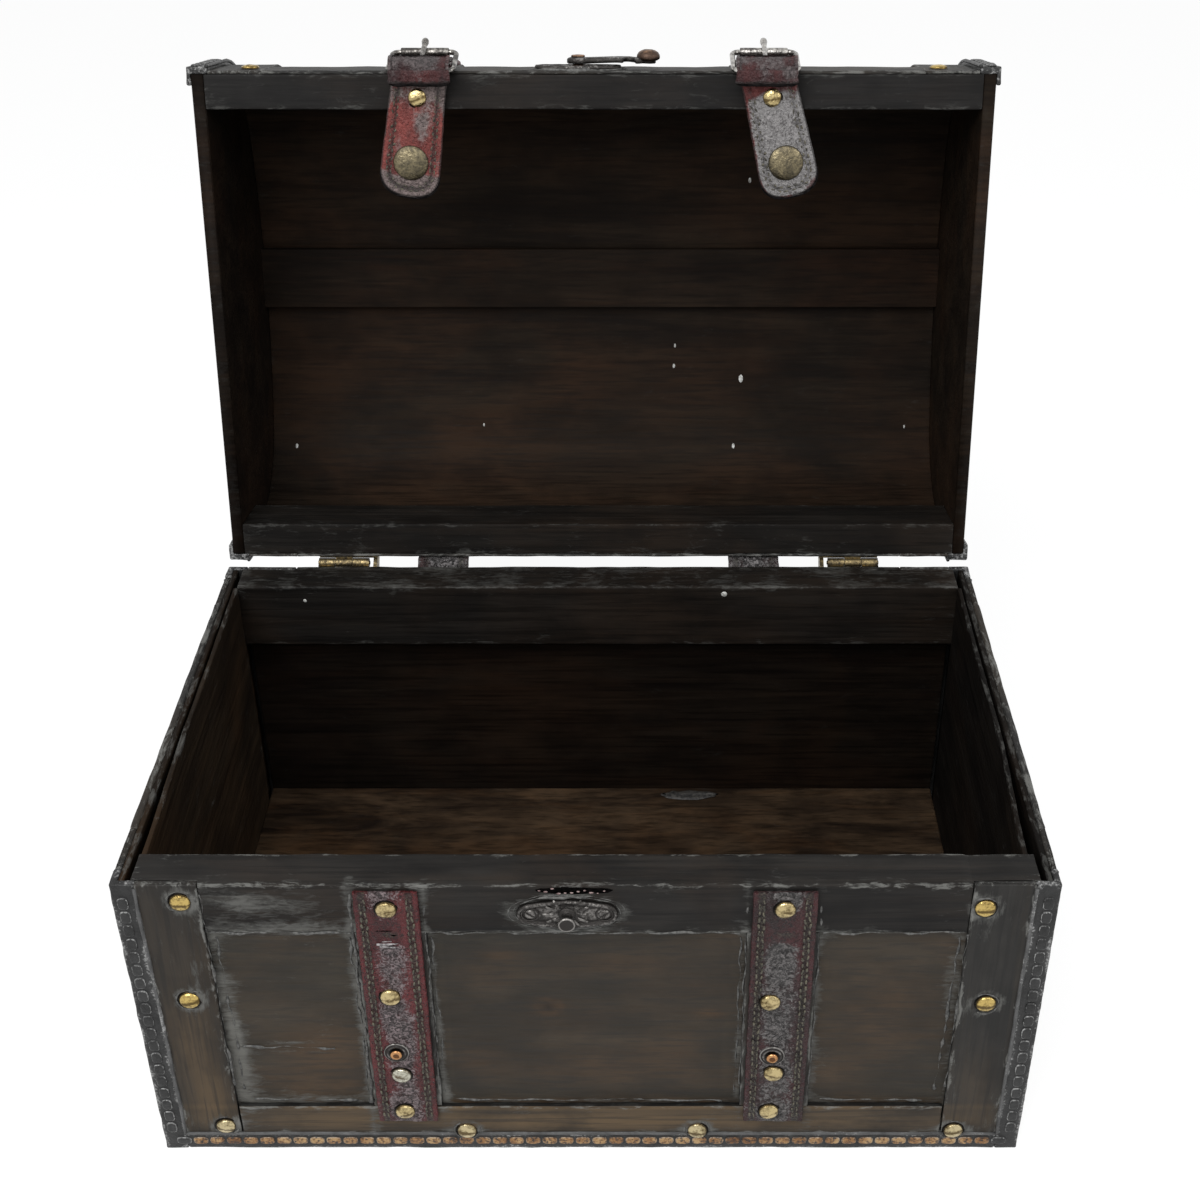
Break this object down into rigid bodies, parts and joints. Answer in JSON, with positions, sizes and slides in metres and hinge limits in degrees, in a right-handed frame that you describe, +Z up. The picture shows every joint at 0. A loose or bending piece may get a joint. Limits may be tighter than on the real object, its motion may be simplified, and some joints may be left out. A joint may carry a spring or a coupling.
{
  "type": "treasure chest",
  "caption": "Wooden keepsake chest with a domed lid on butt hinges, leather straps with buckles and snap flaps, and a turning hook latch.",
  "frame": {"origin": "centre of the flat underside", "axes": "+Z up, +X to the right seen from the front, +Y towards the hinges at the back"},
  "size_m": [0.384, 0.3892, 0.4053],
  "materials": {
    "frame_wood": "worn near-black stain with grey wax",
    "panel_wood": "worn dark brown stain",
    "inside_wood": "thin dark stain",
    "floor_wood": "thin brown stain",
    "edge_band": "embossed imitation leather, worn",
    "strap_leather": "maroon, rubbed grey",
    "flap_leather": "maroon, rubbed grey and red",
    "nail_brass": "antique brass",
    "snap_brass": "dull antique brass",
    "hinge_brass": "brass plate",
    "latch_metal": "dark pewter, copper where rubbed",
    "buckle_metal": "nickel plate with dark patina"
  },
  "bodies": {
    "base": {"base_floor": "floor_wood", "base_front_panel": "panel_wood", "base_back_panel": "panel_wood", "base_left_end": "panel_wood", "base_right_end": "panel_wood", "base_front_rail": "frame_wood", "base_back_rail": "frame_wood", "base_front_frame": "frame_wood", "base_back_frame": "frame_wood", "base_end_frames": "frame_wood", "base_corner_bands": "edge_band", "base_bottom_bands": "edge_band", "base_beads": "edge_band", "base_front_straps": "strap_leather", "base_back_straps": "strap_leather", "base_nails": "nail_brass", "snap_studs": "nail_brass", "base_latch_plate": "latch_metal", "latch_stud": "latch_metal", "base_latch_screws": "latch_metal", "base_hinge_leaves": "hinge_brass", "hinge_pins": "hinge_brass", "base_hinge_screws": "hinge_brass", "hinge_stop_tabs": "latch_metal", "strap_folds": "strap_leather"},
    "lid": {"lid_front_rail": "frame_wood", "lid_back_rail": "frame_wood", "lid_left_end": "panel_wood", "lid_right_end": "panel_wood", "lid_skin": "panel_wood", "lid_crown_batten": "inside_wood", "lid_strips": "frame_wood", "lid_end_bands": "edge_band", "lid_straps": "strap_leather", "lid_nails": "nail_brass", "lid_latch_plate": "latch_metal", "lid_latch_screws": "latch_metal", "latch_rivet": "latch_metal", "lid_hinge_leaves": "hinge_brass", "lid_hinge_screws": "hinge_brass"},
    "latch_arm": {"latch_arm": "latch_metal"},
    "left_buckle": {"left_buckle_frame": "buckle_metal", "left_strap_tail": "strap_leather", "left_keeper": "strap_leather"},
    "left_roller": {"left_buckle_roller": "buckle_metal"},
    "left_tongue": {"left_buckle_tongue": "buckle_metal"},
    "left_flap": {"left_flap": "flap_leather", "left_flap_nail": "nail_brass", "left_snap_cap": "snap_brass"},
    "right_buckle": {"right_buckle_frame": "buckle_metal", "right_strap_tail": "strap_leather", "right_keeper": "strap_leather"},
    "right_roller": {"right_buckle_roller": "buckle_metal"},
    "right_tongue": {"right_buckle_tongue": "buckle_metal"},
    "right_flap": {"right_flap": "flap_leather", "right_flap_nail": "nail_brass", "right_snap_cap": "snap_brass"}
  },
  "joints": [
    {"name": "lid_hinge", "type": "hinge", "parent": "base", "child": "lid", "pos_m": [0, 0.1232, 0.15725], "axis": [1, 0, 0], "range_deg": [0, 102], "deforming": ["strap_folds"]},
    {"name": "latch_pivot", "type": "hinge", "parent": "lid", "child": "latch_arm", "pos_m": [-0.0075, 0.18312, 0.39468], "axis": [0, -0.2079, -0.9781], "range_deg": [-90, 90]},
    {"name": "left_buckle_swing", "type": "hinge", "parent": "lid", "child": "left_buckle", "pos_m": [-0.08, 0.19116, 0.3988], "axis": [1, 0, 0], "range_deg": [-23.15, 0]},
    {"name": "left_roller_spin", "type": "hinge", "parent": "left_buckle", "child": "left_roller", "pos_m": [-0.08, 0.19116, 0.3988], "axis": [1, 0, 0], "continuous": true},
    {"name": "left_tongue_pivot", "type": "hinge", "parent": "left_buckle", "child": "left_tongue", "pos_m": [-0.08, 0.16771, 0.39673], "axis": [1, 0, 0], "range_deg": [0, 10]},
    {"name": "left_flap_swing", "type": "hinge", "parent": "left_buckle", "child": "left_flap", "pos_m": [-0.08, 0.16771, 0.39673], "axis": [1, 0, 0], "range_deg": [-77.05, 0]},
    {"name": "right_buckle_swing", "type": "hinge", "parent": "lid", "child": "right_buckle", "pos_m": [0.08, 0.19116, 0.3988], "axis": [1, 0, 0], "range_deg": [-23.15, 0]},
    {"name": "right_roller_spin", "type": "hinge", "parent": "right_buckle", "child": "right_roller", "pos_m": [0.08, 0.19116, 0.3988], "axis": [1, 0, 0], "continuous": true},
    {"name": "right_tongue_pivot", "type": "hinge", "parent": "right_buckle", "child": "right_tongue", "pos_m": [0.08, 0.16771, 0.39673], "axis": [1, 0, 0], "range_deg": [0, 10]},
    {"name": "right_flap_swing", "type": "hinge", "parent": "right_buckle", "child": "right_flap", "pos_m": [0.08, 0.16771, 0.39673], "axis": [1, 0, 0], "range_deg": [-77.05, 0]}
  ],
  "couplings": [
    {"joint": "left_buckle_swing", "follows": "lid_hinge", "ratio": -0.226},
    {"joint": "left_flap_swing", "follows": "lid_hinge", "ratio": -0.7544},
    {"joint": "right_buckle_swing", "follows": "lid_hinge", "ratio": -0.226},
    {"joint": "right_flap_swing", "follows": "lid_hinge", "ratio": -0.7544}
  ]
}
